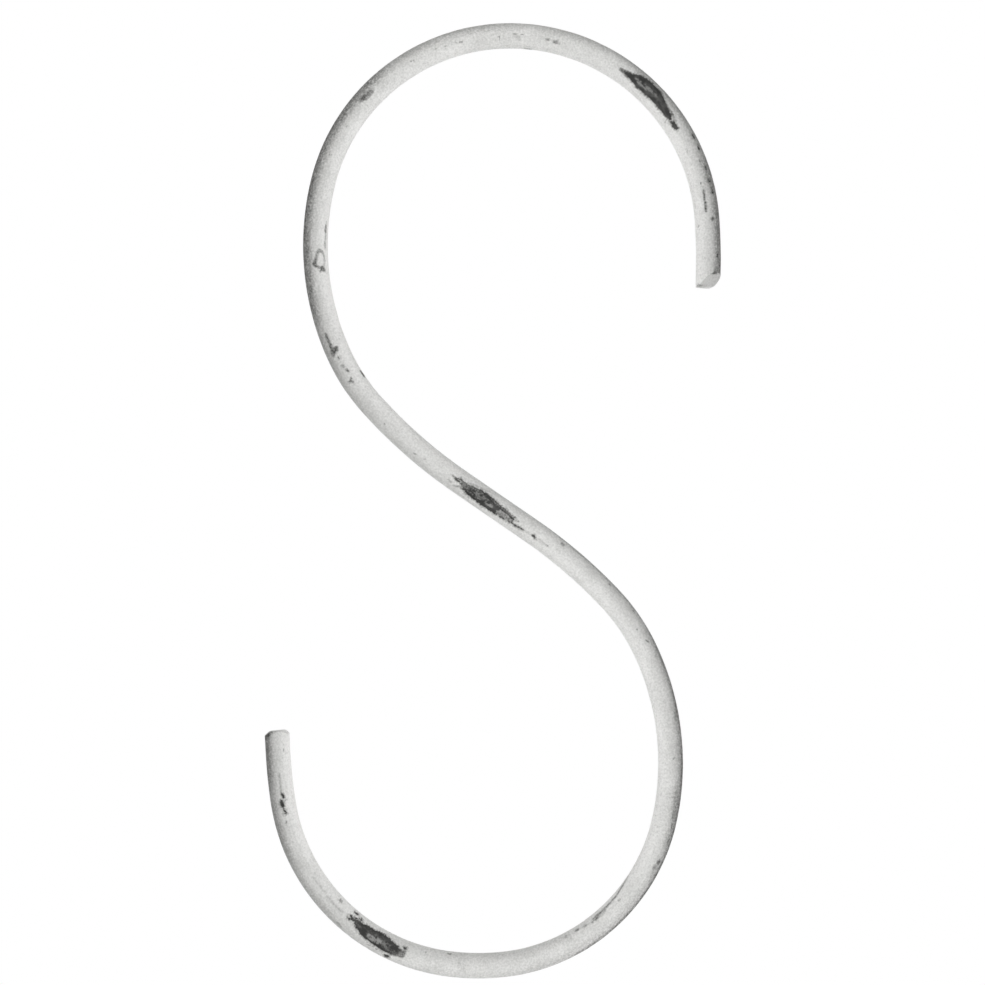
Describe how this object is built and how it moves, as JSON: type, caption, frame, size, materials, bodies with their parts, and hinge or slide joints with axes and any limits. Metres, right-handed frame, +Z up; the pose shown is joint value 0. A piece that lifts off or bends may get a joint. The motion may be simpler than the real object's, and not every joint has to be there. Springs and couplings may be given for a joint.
{
  "type": "s hook",
  "caption": "Hand-bent round bar S hook with two wide open hooks, in worn off-white paint over dark iron, for hanging things from a rail.",
  "frame": {"origin": "the rail seat: the highest point of the inside of the upper hook, on the bar's middle plane", "axes": "+Z up along the hook's length, +X towards the side where the upper hook opens, +Y through the bar's thickness, away from the viewer"},
  "size_m": [0.0913, 0.005, 0.1909],
  "materials": {
    "worn_white_paint": "matt off-white paint, rubbed through to dark iron in patches"
  },
  "bodies": {
    "root": {"s_hook": "worn_white_paint"}
  },
  "joints": []
}
